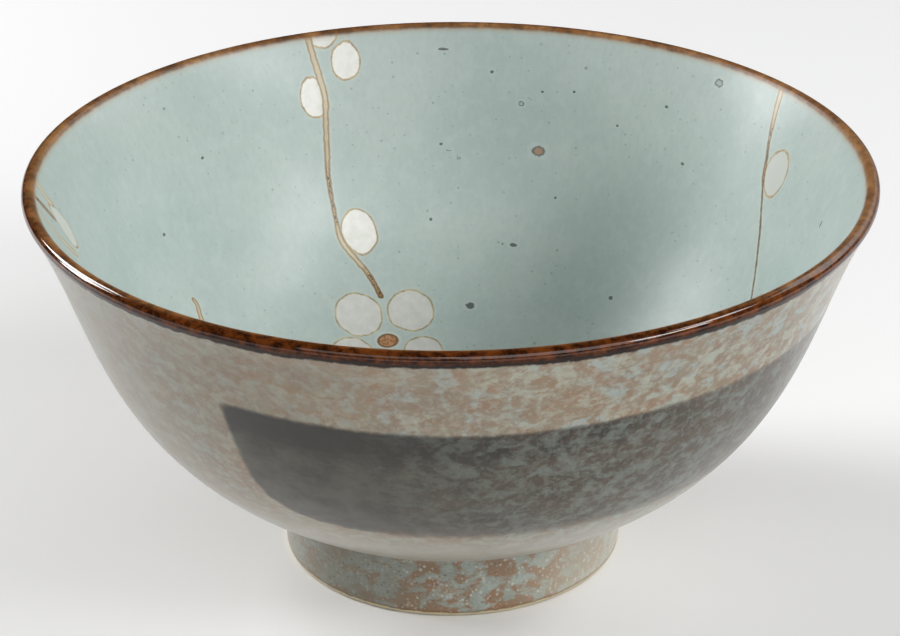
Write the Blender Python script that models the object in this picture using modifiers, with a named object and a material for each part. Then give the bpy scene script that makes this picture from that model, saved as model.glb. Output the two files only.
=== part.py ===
"""A wide stoneware bowl for rice or noodles, thrown in one piece and glazed inside and out.

The wall thins from the foot to a rounded lip and flares a little near the top. Underneath is a
turned foot ring around a shallow recess. The bowl is empty and open. Its branches and blossom are
painted glaze, which adds no thickness, so the solid has none of them.

It stands on the ground plane, +Z up, with its origin at the centre of the foot's underside.
"""

import math

import bpy
from mathutils import Vector

# Overall size, in metres
RIM_DIAMETER = 0.150  # across the outside of the lip
HEIGHT = 0.074  # from the table to the top of the lip

# Thickness of the clay
LIP_THICKNESS = 0.0025  # the lip is a full round of this thickness
WALL_AT_FOOT = 0.0050  # where the wall leaves the foot, thinning from there to the lip
FLOOR_THICKNESS = 0.0060  # on the axis, between the inside floor and the recess

# Foot ring
FOOT_DIAMETER = 0.062  # across the outside, on the table
FOOT_SPREAD = 0.0004  # how much further out the ring's outer side stands at its top
FOOT_HEIGHT = 0.0128  # from the table to where the belly starts
FOOT_RING_WIDTH = 0.0045
FOOT_EDGE_RADIUS = 0.0008  # the worn round on both edges that touch the table
FOOT_COVE_RADIUS = 0.0025  # the hollow where the foot meets the belly
RECESS_DEPTH = 0.0065
RECESS_COVE_RADIUS = 0.0015

# The belly's curve: its slope in degrees above level at each end, and how far each end's
# slope is carried into the curve, as a share of the straight line between the ends
BELLY_SLOPE_AT_FOOT = 26.2
BELLY_SLOPE_AT_LIP = 61.2
BELLY_PULL_AT_FOOT = 0.516
BELLY_PULL_AT_LIP = 0.297

# How far the wall's slope and the level middle are carried into the inside floor's curve
FLOOR_PULL = 0.6

# How finely the solid is faceted
TURN_STEPS = 72  # a multiple of four, so that the widest points lie on the X and Y axes
BELLY_STEPS = 12
FLOOR_STEPS = 7
MERGE_DISTANCE = 1e-5

# Glaze colour, as linear light: the pale grey-green that covers the inside
GLAZE_COLOUR = (0.43, 0.51, 0.49, 1.0)
GLAZE_ROUGHNESS = 0.12

# What follows from the driving dimensions
LIP_RADIUS = LIP_THICKNESS / 2
LIP_CENTRE = Vector((RIM_DIAMETER / 2 - LIP_RADIUS, HEIGHT - LIP_RADIUS))
FOOT_RADIUS = FOOT_DIAMETER / 2
FOOT_TOP_RADIUS = FOOT_RADIUS + FOOT_SPREAD
RECESS_RADIUS = FOOT_RADIUS - FOOT_RING_WIDTH
FLOOR_HEIGHT = RECESS_DEPTH + FLOOR_THICKNESS


def towards(degrees):
    """The unit vector of the profile plane at this angle above the outward direction."""
    angle = math.radians(degrees)
    return Vector((math.cos(angle), math.sin(angle)))


def arc(centre, radius, start, end, steps):
    """Points on a circle from one angle to another, both ends included."""
    turn = (end - start) / steps
    return [centre + radius * towards(start + turn * i) for i in range(steps + 1)]


def on_bezier(points, t):
    """The point and the unit direction at t, from 0 to 1, of a cubic Bezier curve."""
    a, b, c, d = points
    s = 1 - t
    place = s**3 * a + 3 * s**2 * t * b + 3 * s * t**2 * c + t**3 * d
    run = s**2 * (b - a) + 2 * s * t * (c - b) + t**2 * (d - c)
    return place, run.normalized()


def cove_centre():
    """Centre of the hollow that leads from the foot's outer side into the belly."""
    rise = FOOT_COVE_RADIUS * math.cos(math.radians(BELLY_SLOPE_AT_FOOT))
    return Vector((FOOT_TOP_RADIUS + FOOT_COVE_RADIUS, FOOT_HEIGHT - rise))


def belly_curve():
    """Control points of the outer wall, from the foot's cove up to the lip's round."""
    start = cove_centre() + FOOT_COVE_RADIUS * towards(BELLY_SLOPE_AT_FOOT + 90)
    end = LIP_CENTRE + LIP_RADIUS * towards(BELLY_SLOPE_AT_LIP - 90)
    chord = (end - start).length
    after_start = start + BELLY_PULL_AT_FOOT * chord * towards(BELLY_SLOPE_AT_FOOT)
    before_end = end - BELLY_PULL_AT_LIP * chord * towards(BELLY_SLOPE_AT_LIP)
    return start, after_start, before_end, end


def outer_wall(t):
    return on_bezier(belly_curve(), t)[0]


def inner_wall(t):
    """The point that faces outer_wall(t) through the clay."""
    place, direction = on_bezier(belly_curve(), t)
    inward = Vector((-direction.y, direction.x))
    return place + inward * (WALL_AT_FOOT + (LIP_THICKNESS - WALL_AT_FOOT) * t)


def inside_floor(steps):
    """From the axis, where it is level, out to the foot of the inner wall, whose slope it takes."""
    middle = Vector((0, FLOOR_HEIGHT))
    edge = inner_wall(0)
    slope = inner_wall(0.01) - edge
    corner = Vector((edge.x - (edge.y - middle.y) * slope.x / slope.y, middle.y))
    curve = (middle, middle.lerp(corner, FLOOR_PULL), edge.lerp(corner, FLOOR_PULL), edge)
    return [on_bezier(curve, i / steps)[0] for i in range(steps + 1)]


def lip():
    """The rounded lip, from the inner wall over the top and the widest point to the outer wall."""
    stops = (BELLY_SLOPE_AT_LIP + 90, 90, 0, BELLY_SLOPE_AT_LIP - 90)
    inside = arc(LIP_CENTRE, LIP_RADIUS, stops[0], stops[1], 2)
    crown = arc(LIP_CENTRE, LIP_RADIUS, stops[1], stops[2], 3)
    outside = arc(LIP_CENTRE, LIP_RADIUS, stops[2], stops[3], 1)
    return inside + crown[1:] + outside[1:]


def foot():
    """From the belly down the ring's outer side, under it and up into the recess's ceiling."""
    outer_edge = Vector((FOOT_RADIUS - FOOT_EDGE_RADIUS, FOOT_EDGE_RADIUS))
    inner_edge = Vector((RECESS_RADIUS + FOOT_EDGE_RADIUS, FOOT_EDGE_RADIUS))
    ceiling_cove = Vector((RECESS_RADIUS - RECESS_COVE_RADIUS, RECESS_DEPTH - RECESS_COVE_RADIUS))
    cove = arc(cove_centre(), FOOT_COVE_RADIUS, BELLY_SLOPE_AT_FOOT + 90, 180, 3)
    return (
        cove[1:]
        + arc(outer_edge, FOOT_EDGE_RADIUS, 0, -90, 2)
        + arc(inner_edge, FOOT_EDGE_RADIUS, -90, -180, 2)
        + arc(ceiling_cove, RECESS_COVE_RADIUS, 0, 90, 2)
        + [Vector((0, RECESS_DEPTH))]
    )


def bowl_profile():
    """Half of the bowl's section, from the inside floor over the lip and down to the recess."""
    shares = [i / BELLY_STEPS for i in range(BELLY_STEPS + 1)]
    wall_up = [inner_wall(t) for t in shares[1:-1]]
    wall_down = [outer_wall(t) for t in reversed(shares[:-1])]
    return inside_floor(FLOOR_STEPS) + wall_up + lip() + wall_down + foot()


def glaze_material():
    material = bpy.data.materials.new("grey_green_glaze")
    material.use_nodes = True
    shader = material.node_tree.nodes["Principled BSDF"]
    shader.inputs["Base Color"].default_value = GLAZE_COLOUR
    shader.inputs["Roughness"].default_value = GLAZE_ROUGHNESS
    shader.inputs["Metallic"].default_value = 0.0
    return material


def turned_object(name, profile, material):
    """An object whose profile, drawn in the XZ plane, is turned about Z by a Screw modifier."""
    mesh = bpy.data.meshes.new(name)
    corners = [(point.x, 0, point.y) for point in profile]
    mesh.from_pydata(corners, [(i, i + 1) for i in range(len(corners) - 1)], [])
    mesh.materials.append(material)
    turned = bpy.data.objects.new(name, mesh)
    screw = turned.modifiers.new("turn", "SCREW")
    screw.axis = "Z"
    screw.angle = math.tau
    screw.steps = TURN_STEPS
    screw.render_steps = TURN_STEPS
    screw.use_smooth_shade = True
    screw.use_merge_vertices = True
    screw.merge_threshold = MERGE_DISTANCE
    return turned


def clear_scene():
    for old in list(bpy.data.objects):
        bpy.data.objects.remove(old)


def main():
    clear_scene()
    collection = bpy.data.collections.new("stoneware_bowl")
    bpy.context.scene.collection.children.link(collection)
    collection.objects.link(turned_object("bowl", bowl_profile(), glaze_material()))


main()
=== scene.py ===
# %% [markdown]
# # A glazed stoneware bowl, painted with plum branches
#
# The real bowl is one piece of clay. A potter threw it on a wheel, trimmed a foot ring under it,
# dipped it in glaze and painted it with coloured glaze. So its form is a single turned shape, and
# everything else that the eye sees is colour and gloss. This script follows the same order: the
# clay form first, then the places of the painting on it, then the glazes, then the studio.
#
# All lengths here are in millimetres, which suit a bowl, and are turned into Blender's metres only
# where the mesh is made.

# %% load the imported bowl, which gives the size
import math

import bpy
import numpy as np
from mathutils import Matrix, Vector


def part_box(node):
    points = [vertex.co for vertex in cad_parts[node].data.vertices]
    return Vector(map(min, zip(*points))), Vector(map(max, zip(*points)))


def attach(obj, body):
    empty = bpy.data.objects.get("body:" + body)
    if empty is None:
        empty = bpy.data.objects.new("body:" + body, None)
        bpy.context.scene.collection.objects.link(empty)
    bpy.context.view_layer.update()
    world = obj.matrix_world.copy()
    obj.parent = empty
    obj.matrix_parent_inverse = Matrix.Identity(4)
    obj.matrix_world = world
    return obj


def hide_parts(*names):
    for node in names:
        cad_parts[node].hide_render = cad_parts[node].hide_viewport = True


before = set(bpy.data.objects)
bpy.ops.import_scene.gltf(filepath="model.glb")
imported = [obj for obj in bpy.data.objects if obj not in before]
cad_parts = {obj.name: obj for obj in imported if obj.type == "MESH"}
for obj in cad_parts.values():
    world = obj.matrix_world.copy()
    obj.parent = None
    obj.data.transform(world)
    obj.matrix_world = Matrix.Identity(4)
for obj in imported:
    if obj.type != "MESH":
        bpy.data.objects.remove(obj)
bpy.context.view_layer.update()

MM = 0.001
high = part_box("bowl")[1]
RIM_RADIUS = high.x / MM
HEIGHT = high.z / MM
print(f"the bowl is {2 * RIM_RADIUS:.1f} mm across and {HEIGHT:.1f} mm high")

# %% [markdown]
# ## The clay form
#
# A bowl off a wheel is the same all the way round, so half of its section says everything. The
# section could be drawn by hand as a list of points, but then nothing would keep the wall's
# thickness even. Here the outer wall is one Bezier curve from the foot to the lip, and the inner
# wall is found by stepping inwards from it through the clay.

# %% sizes of the clay
LIP_THICKNESS = 2.5
WALL_AT_FOOT = 5.0
FLOOR_THICKNESS = 6.0
FOOT_RADIUS = 31.0
FOOT_SPREAD = 0.4
FOOT_HEIGHT = 12.8
FOOT_RING_WIDTH = 4.5
FOOT_EDGE_RADIUS = 0.8
FOOT_COVE_RADIUS = 2.5
RECESS_DEPTH = 6.5
RECESS_COVE_RADIUS = 1.5
BELLY_SLOPE_AT_FOOT = 26.2
BELLY_SLOPE_AT_LIP = 61.2
BELLY_PULL_AT_FOOT = 0.516
BELLY_PULL_AT_LIP = 0.297
FLOOR_PULL = 0.6

LIP_RADIUS = LIP_THICKNESS / 2
LIP_CENTRE = np.array([RIM_RADIUS - LIP_RADIUS, HEIGHT - LIP_RADIUS])


def towards(degrees):
    """The unit vector of the section's plane at this angle above the outward direction."""
    angle = math.radians(degrees)
    return np.array([math.cos(angle), math.sin(angle)])


def arc(centre, radius, start, end, steps):
    """Points on a circle from one angle to another, both ends included."""
    return np.array([centre + radius * towards(a) for a in np.linspace(start, end, steps + 1)])


def on_bezier(points, shares):
    """Points and unit directions of a cubic Bezier curve at these shares of its run."""
    a, b, c, d = points
    t = np.asarray(shares, float)[:, None]
    s = 1 - t
    places = s**3 * a + 3 * s**2 * t * b + 3 * s * t**2 * c + t**3 * d
    runs = s**2 * (b - a) + 2 * s * t * (c - b) + t**2 * (d - c)
    return places, runs / np.linalg.norm(runs, axis=1, keepdims=True)


# %% the outer wall, and the inner wall that follows it through the clay
cove_rise = FOOT_COVE_RADIUS * math.cos(math.radians(BELLY_SLOPE_AT_FOOT))
COVE_CENTRE = np.array([FOOT_RADIUS + FOOT_SPREAD + FOOT_COVE_RADIUS, FOOT_HEIGHT - cove_rise])


def belly_curve():
    start = COVE_CENTRE + FOOT_COVE_RADIUS * towards(BELLY_SLOPE_AT_FOOT + 90)
    end = LIP_CENTRE + LIP_RADIUS * towards(BELLY_SLOPE_AT_LIP - 90)
    chord = np.linalg.norm(end - start)
    after_start = start + BELLY_PULL_AT_FOOT * chord * towards(BELLY_SLOPE_AT_FOOT)
    before_end = end - BELLY_PULL_AT_LIP * chord * towards(BELLY_SLOPE_AT_LIP)
    return start, after_start, before_end, end


def outer_wall(shares):
    return on_bezier(belly_curve(), shares)[0]


def inner_wall(shares):
    """The points that face outer_wall(shares) through the clay."""
    places, runs = on_bezier(belly_curve(), shares)
    inward = np.stack([-runs[:, 1], runs[:, 0]], axis=1)
    thickness = WALL_AT_FOOT + (LIP_THICKNESS - WALL_AT_FOOT) * np.asarray(shares)
    return places + inward * thickness[:, None]


def inside_floor(steps):
    """From the axis, where it is level, out to the foot of the inner wall, whose slope it takes."""
    middle = np.array([0, RECESS_DEPTH + FLOOR_THICKNESS])
    edge, next_up = inner_wall([0, 0.01])
    slope = next_up - edge
    corner = np.array([edge[0] - (edge[1] - middle[1]) * slope[0] / slope[1], middle[1]])
    pulls = [middle + FLOOR_PULL * (corner - middle), edge + FLOOR_PULL * (corner - edge)]
    return on_bezier([middle, *pulls, edge], np.linspace(0, 1, steps + 1))[0]


# %% [markdown]
# The section is joined from named stretches. Each stretch also says which finish it wears: the
# lining inside, the lip's own glaze over the crest, the outer glaze, or the bare clay that a potter
# wipes clean so that the bowl doesn't stick to the kiln shelf. The solid that the physics uses has
# the same section in fewer steps. This finer one is there because gloss shows every facet.

# %% the whole section, from the middle of the floor to the middle of the recess
LINING, OUTER_GLAZE, BARE_CLAY, LIP_GLAZE = 0, 1, 2, 3
WALL_STEPS = 66


def section():
    """The section's points, the finish of the stretch after each, and the lip's top point."""
    shares = np.linspace(0, 1, WALL_STEPS + 1)
    top, side = 90, 0
    lip_in = arc(LIP_CENTRE, LIP_RADIUS, BELLY_SLOPE_AT_LIP + 90, top, 8)
    lip_out = arc(LIP_CENTRE, LIP_RADIUS, top, side, 10)
    lip_under = arc(LIP_CENTRE, LIP_RADIUS, side, BELLY_SLOPE_AT_LIP - 90, 4)
    cove = arc(COVE_CENTRE, FOOT_COVE_RADIUS, BELLY_SLOPE_AT_FOOT + 90, 180, 8)
    ring_inside = FOOT_RADIUS - FOOT_RING_WIDTH
    outer_edge = np.array([FOOT_RADIUS - FOOT_EDGE_RADIUS, FOOT_EDGE_RADIUS])
    inner_edge = np.array([ring_inside + FOOT_EDGE_RADIUS, FOOT_EDGE_RADIUS])
    ceiling = np.array([ring_inside, RECESS_DEPTH]) - RECESS_COVE_RADIUS
    foot_side = np.linspace(cove[-1], outer_edge + [FOOT_EDGE_RADIUS, 0], 10)
    recess_side = np.linspace(inner_edge - [FOOT_EDGE_RADIUS, 0], ceiling + [RECESS_COVE_RADIUS, 0], 4)
    stretches = [
        (inside_floor(26), LINING),
        (inner_wall(shares), LINING),
        (lip_in, LINING),
        (lip_out, LIP_GLAZE),
        (lip_under, OUTER_GLAZE),
        (outer_wall(shares[::-1]), OUTER_GLAZE),
        (cove, OUTER_GLAZE),
        (foot_side, OUTER_GLAZE),
        (arc(outer_edge, FOOT_EDGE_RADIUS, 0, -50, 4), OUTER_GLAZE),
        (arc(outer_edge, FOOT_EDGE_RADIUS, -50, -90, 3), BARE_CLAY),
        (arc(inner_edge, FOOT_EDGE_RADIUS, -90, -180, 4), BARE_CLAY),
        (recess_side, OUTER_GLAZE),
        (arc(ceiling, RECESS_COVE_RADIUS, 0, 90, 4), OUTER_GLAZE),
        (np.linspace([ceiling[0], RECESS_DEPTH], [0, RECESS_DEPTH], 8), OUTER_GLAZE),
    ]
    points, finishes = [stretches[0][0][0]], []
    for line, finish in stretches:
        joins = np.allclose(points[-1], line[0])
        new = line[1:] if joins else line
        points.extend(new)
        finishes.extend([finish] * len(new))
    return np.array(points), finishes, LIP_CENTRE + LIP_RADIUS * towards(top)


outline, finishes, lip_top = section()
print(f"the section has {len(outline)} points")

# %% [markdown]
# A Screw modifier would turn the section too. The rings are written out instead, because the
# painting needs to know where each vertex lies: how far round the bowl, and how far from the lip
# along the clay. A vertex keeps its ring and its bearing, so both are at hand.

# %% turn the section into a mesh
AROUND = 360


def turned_mesh(name, outline, finishes):
    """A closed mesh of revolution from a section whose two ends lie on the axis."""
    bearing = np.arange(AROUND) * math.tau / AROUND
    circle = np.stack([np.cos(bearing), np.sin(bearing)], axis=1)
    corners = [(0, 0, outline[0][1])]
    for radius, height in outline[1:-1]:
        corners.extend((x, y, height) for x, y in circle * radius)
    corners.append((0, 0, outline[-1][1]))

    def corner(ring, column):
        if ring == 0:
            return 0
        if ring == len(outline) - 1:
            return len(corners) - 1
        return 1 + (ring - 1) * AROUND + column % AROUND

    faces, worn = [], []
    for ring in range(len(outline) - 1):
        for column in range(AROUND):
            four = [
                corner(ring, column),
                corner(ring + 1, column),
                corner(ring + 1, column + 1),
                corner(ring, column + 1),
            ]
            faces.append(list(dict.fromkeys(four)))
            worn.append(finishes[ring])
    mesh = bpy.data.meshes.new(name)
    mesh.from_pydata(np.array(corners) * MM, [], faces)
    mesh.polygons.foreach_set("material_index", worn)
    mesh.shade_smooth()
    rings = np.concatenate([[0], np.repeat(np.arange(1, len(outline) - 1), AROUND), [len(outline) - 1]])
    return mesh, rings


bowl_mesh, ring_of = turned_mesh("bowl_glazed", outline, finishes)
bowl = bpy.data.objects.new("bowl_glazed", bowl_mesh)
bpy.context.scene.collection.objects.link(bowl)
triangles = sum(len(face.vertices) - 2 for face in bowl_mesh.polygons)
print(f"the bowl's mesh has {triangles} triangles")

# %% [markdown]
# ## Where things are on the clay
#
# The painting is placed as a potter would say it: a bearing round the bowl, in degrees, and a depth
# down the inside from the lip. Bearing 0 is the right, 90 the far side, 180 the left and 270 the
# near side. The painting could be an image on a UV map, but an image has a fixed sharpness. Instead
# each vertex stores where it lies from the nearest stroke, bud or speck, in millimetres, and the
# shader draws the shape from that, sharp at any distance.
#
# Patterns that follow the lip need a place that doesn't crowd together as the wall narrows. So each
# vertex also stores a wrap: its place on a plain cylinder, as high as its distance from the lip.

# %% bearing, distance from the lip and wrap, for each vertex
steps_along = np.linalg.norm(np.diff(outline, axis=0), axis=1)
run_along = np.concatenate([[0], np.cumsum(steps_along)])
lip_ring = int(np.argmin(np.linalg.norm(outline - lip_top, axis=1)))
wall_top_ring = int(np.argmin(np.linalg.norm(outline - inner_wall([1.0])[0], axis=1)))
from_lip = run_along - run_along[lip_ring]

places = np.array([vertex.co for vertex in bowl_mesh.vertices]) / MM
bearings = np.degrees(np.arctan2(places[:, 1], places[:, 0])) % 360
is_inside = ring_of <= lip_ring
print(f"the inside is {-from_lip[0]:.1f} mm from the lip to the middle along the clay")


def store(name, values):
    """Keeps one number or one vector for each vertex, for the shader to read."""
    kind, field = ("FLOAT", "value") if values.ndim == 1 else ("FLOAT_VECTOR", "vector")
    attribute = bowl_mesh.attributes.new(name, kind, "POINT")
    attribute.data.foreach_set(field, values.astype(np.float32).ravel())


WRAP_RADIUS = 60.0
angles = np.radians(bearings)
wrap_x, wrap_y = WRAP_RADIUS * np.cos(angles), WRAP_RADIUS * np.sin(angles)
wrap = np.stack([wrap_x, wrap_y, from_lip[ring_of]], axis=1)
store("from_lip", from_lip[ring_of])
store("wrap", wrap)


# %% a point on the inside from its bearing and depth
from_lip_down = slice(lip_ring, None, -1)
inside_depth = (run_along[wall_top_ring] - run_along)[from_lip_down]
inside_radius, inside_height = outline[from_lip_down].T


def on_inside(bearing, depth):
    """The point at this bearing, this far down the inside from where the lip's round ends."""
    radius = np.interp(depth, inside_depth, inside_radius)
    height = np.interp(depth, inside_depth, inside_height)
    angle = np.radians(bearing)
    return np.stack([radius * np.cos(angle), radius * np.sin(angle), height], axis=-1)


def frame_on_inside(bearing, depth):
    """The point, and the unit directions along the clay there: round to greater bearings, and down."""
    small = 0.5
    here = on_inside(bearing, depth)
    down = on_inside(bearing, depth + small) - on_inside(bearing, depth - small)
    down /= np.linalg.norm(down, axis=-1, keepdims=True)
    angle = np.radians(bearing)
    round_ = np.stack([-np.sin(angle), np.cos(angle), 0 * angle], axis=-1)
    return here, round_, down


# %% [markdown]
# ### Branches
#
# Each branch is a brush stroke: a route of a few points, a width, and how much brown the brush
# carried. A smooth curve through the points gives the stroke's middle line. Each vertex near it
# stores how far it is to the side of that line, how far past the stroke's end, and the stroke's
# half width there.

# %% the strokes: bearing, depth, width, ink
LONG_BRANCH = [
    (112.6, -1.2, 1.1, 0.35),
    (112.5, 2.5, 1.1, 0.30),
    (112.0, 7.3, 1.1, 0.20),
    (111.5, 12.4, 1.0, 0.10),
    (112.0, 16.7, 0.9, 0.34),
    (112.7, 23.7, 0.9, 0.36),
    (113.2, 28.0, 0.7, 0.56),
    (113.3, 35.2, 0.6, 0.58),
    (113.1, 40.7, 0.9, 0.10),
    (111.1, 44.7, 0.9, 0.12),
    (108.9, 48.5, 0.8, 0.55),
    (107.2, 53.5, 0.8, 1.00),
]
# The thin branch's top is wide and pale. That is partly its cream paint and partly a painted highlight
# where the glossy stroke catches the light.
THIN_BRANCH = [
    (30.9, -1.2, 1.1, 0.06),
    (29.7, 4.7, 1.0, 0.30),
    (28.5, 9.8, 0.5, 0.70),
    (27.5, 13.0, 0.5, 0.85),
    (26.7, 16.0, 0.6, 0.85),
    (25.7, 18.3, 0.25, 0.90),
    (22.9, 23.7, 0.25, 0.90),
    (18.0, 31.8, 0.20, 0.90),
    (12.0, 38.7, 0.15, 0.90),
    (2.0, 46.7, 0.1, 0.90),
]
# The left twig is a pale stroke, and its pale fill also stands in for a painted highlight along the
# branch.
LEFT_TWIG = [
    (183.3, -1.2, 1.4, 0.02),
    (183.8, 3.8, 1.3, 0.02),
    (182.9, 5.7, 0.9, 0.10),
]
LEFT_SHADE = [
    (189.2, -1.2, 1.1, 0.60),
    (187.8, 3.4, 1.3, 0.80),
    (186.3, 6.7, 0.8, 0.60),
]
LEFT_SEPAL = [
    (190.6, -1.2, 1.0, 0.00),
    (192.2, 2.7, 1.1, 0.00),
    (189.5, 9.1, 1.1, 0.00),
    (184.8, 15.1, 0.9, 0.00),
]
NEAR_BRANCH = [
    (216.0, -1.2, 1.5, 0.35),
    (213.0, 12.0, 1.5, 0.25),
    (208.0, 26.0, 1.5, 0.40),
    (196.0, 40.0, 1.5, 0.30),
    (176.0, 50.0, 1.4, 0.35),
    (160.0, 50.5, 1.2, 0.60),
    (153.6, 43.5, 0.8, 0.35),
    (153.1, 41.2, 0.6, 0.50),
]
RIGHT_NEAR_BRANCH = [
    (318.0, -1.2, 1.4, 0.35),
    (321.0, 12.0, 1.4, 0.25),
    (319.0, 26.0, 1.3, 0.45),
    (312.0, 38.0, 1.2, 0.85),
]
STROKE_LAYERS = [
    [LONG_BRANCH, THIN_BRANCH, LEFT_TWIG, LEFT_SEPAL, NEAR_BRANCH, RIGHT_NEAR_BRANCH],
    [LEFT_SHADE],
]
STROKE_REACH = 5.0
NO_STROKE = -10.0


# %% the smooth line of a stroke, and how each vertex lies from it
def smooth_line(knots, steps=16):
    """Points of a Catmull-Rom curve through the knots. Each knot may hold any number of values."""
    knots = np.array(knots, float)
    ends = [2 * knots[0] - knots[1], *knots, 2 * knots[-1] - knots[-2]]
    line = []
    for before, start, end, after in zip(ends, ends[1:], ends[2:], ends[3:]):
        for t in np.arange(steps) / steps:
            slope = (end - before) * t
            bend = (2 * before - 5 * start + 4 * end - after) * t**2
            twist = (3 * start - before - 3 * end + after) * t**3
            line.append(0.5 * (2 * start + slope + bend + twist))
    return np.array(line + [knots[-1]])


# %% [markdown]
# A vertex keeps only its nearest stroke, and between two strokes that run close together the mesh
# would blend the one's distance into the other's and draw a line that isn't there. So strokes that
# come within two reaches of each other are kept in different layers.

# %% how each vertex lies from the nearest stroke of a layer
def lay_stroke(stroke, place_of, ink_of, nearest):
    """Stores a stroke's distances in the vertices that lie nearer to it than to any before it."""
    bearing, depth, width, ink = smooth_line(stroke).T
    line, round_, down = frame_on_inside(bearing, depth)
    run = np.gradient(line, axis=0)
    run /= np.linalg.norm(run, axis=1, keepdims=True)
    side = np.cross(np.cross(round_, down), run)
    below, above = line.min(0) - STROKE_REACH, line.max(0) + STROKE_REACH
    near = np.flatnonzero(is_inside & np.all((places > below) & (places < above), axis=1))
    gap = places[near, None, :] - line[None, :, :]
    distance = np.linalg.norm(gap, axis=2)
    closest = distance.argmin(1)
    distance = distance.min(1)
    mine = distance < nearest[near]
    near, closest, distance = near[mine], closest[mine], distance[mine]
    offset = places[near] - line[closest]
    across = (offset * side[closest]).sum(1)
    along = (offset * run[closest]).sum(1)
    past_end = np.where(closest == len(line) - 1, along, np.where(closest == 0, -along, 0))
    nearest[near] = distance
    place_of[near] = np.stack([across, past_end, width[closest] / 2], axis=1)
    ink_of[near] = ink[closest]


for layer, strokes in enumerate(STROKE_LAYERS):
    stroke_place = np.tile([STROKE_REACH, STROKE_REACH, NO_STROKE], (len(places), 1))
    stroke_ink = np.zeros(len(places))
    nearest_stroke = np.full(len(places), STROKE_REACH)
    for stroke in strokes:
        lay_stroke(stroke, stroke_place, stroke_ink, nearest_stroke)
    store(f"stroke_{layer}", stroke_place)
    store(f"stroke_ink_{layer}", stroke_ink)
    print(f"layer {layer}: {int((nearest_stroke < STROKE_REACH).sum())} vertices lie near a stroke")

# %% [markdown]
# ### Buds
#
# A bud is a closed oval of white glaze with a brown outline, a little narrower at one end. For each
# vertex it is enough to keep how far it lies outside the nearest bud's edge. The mesh is finer than
# a bud, so the oval stays smooth. Some buds were filled with a full brush and some with a thin one,
# so the white's strength is kept too. The bud that the lip cuts off comes close to its neighbours,
# so it has a layer of its own, as such strokes have.

# %% the buds: bearing, depth, width, length, lean in degrees, how much narrower the top is, white
BUDS = [
    (107.1, 5.4, 6.0, 7.6, -8, 0.06, 1.0),
    (113.5, 11.7, 5.5, 8.4, 4, 0.16, 1.0),
    (109.0, 39.5, 7.0, 9.2, 8, 0.02, 1.0),
    (23.9, 14.3, 6.6, 9.2, 0, -0.05, 0.2),
    (183.4, 9.7, 4.6, 11.0, 18, 0.10, 0.45),
    (211.0, 30.5, 6.4, 8.8, -30, 0.08, 1.0),
    (217.5, 10.5, 5.6, 8.4, 12, 0.10, 1.0),
    (316.2, 20.5, 5.8, 8.6, 6, 0.10, 1.0),
    (322.6, 9.0, 5.4, 8.2, -10, 0.08, 0.9),
]
BUDS_AT_THE_LIP = [(110.4, -0.6, 6.8, 5.4, 0, 0.0, 0.75)]
BUD_LAYERS = [BUDS, BUDS_AT_THE_LIP]
BUD_REACH = 4.0


def lay_bud(bud, edge_of, white_of):
    """Stores how far each vertex lies outside this bud, negative inside, where it is the nearest."""
    bearing, depth, width, length, lean, taper, white = bud
    centre, round_, down = frame_on_inside(bearing, depth)
    offset = places - centre
    x, y = offset @ -round_, offset @ down
    turn = math.radians(lean)
    x, y = x * math.cos(turn) - y * math.sin(turn), x * math.sin(turn) + y * math.cos(turn)
    x = x / (width / 2 * (1 + taper * np.clip(y / length * 2, -1, 1)))
    y = y / (length / 2)
    off_wall = np.abs(offset @ np.cross(round_, down)) > length
    edge = (np.hypot(x, y) - 1) * (width + length) / 4
    mine = is_inside & ~off_wall & (edge < edge_of)
    edge_of[mine] = edge[mine]
    white_of[mine] = white


for layer, buds in enumerate(BUD_LAYERS):
    bud_edge = np.full(len(places), BUD_REACH)
    bud_strength = np.ones(len(places))
    for bud in buds:
        lay_bud(bud, bud_edge, bud_strength)
    store(f"bud_edge_{layer}", bud_edge)
    store(f"bud_white_{layer}", bud_strength)
    print(f"layer {layer}: {len(buds)} buds, on {int((bud_edge < 0).sum())} vertices")

# %% [markdown]
# ### The blossom
#
# Five round petals stand round a brown dot, low on the wall. Between two petals there is only a
# hair of glaze, finer than the mesh, so distances kept in the vertices would run the petals
# together. Here each vertex keeps its plain place on the blossom's own little map, in millimetres
# right of and below the dot, and the shader measures to the petals.

# %% the blossom's map, and its petals: turn from straight up, distance from the dot, width
BLOSSOM_BEARING, BLOSSOM_DEPTH = 108.8, 63.4
BLOSSOM_REACH = 15.0
PETALS = [(-33, 7.9, 9.5), (47, 8.4, 9.1), (125, 7.4, 7.6), (190, 8.0, 8.8), (251, 8.4, 9.2)]
FAR_AWAY = 100.0

centre, round_, down = frame_on_inside(BLOSSOM_BEARING, BLOSSOM_DEPTH)
offset = places - centre
near = is_inside & (np.linalg.norm(offset, axis=1) < BLOSSOM_REACH)
blossom = np.full((len(places), 3), FAR_AWAY)
blossom[near] = np.stack([offset @ -round_, offset @ down, 0 * places[:, 0]], axis=1)[near]
store("blossom", blossom)
print(f"the blossom's map covers {int(near.sum())} vertices")

# %% [markdown]
# ### Iron specks
#
# Grains of iron in the clay melt through the glaze as dark dots. Hundreds are so small that a noise
# pattern can strew them. A few are big enough to know by name, and they are placed like the petals,
# each on its own small map.

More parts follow.
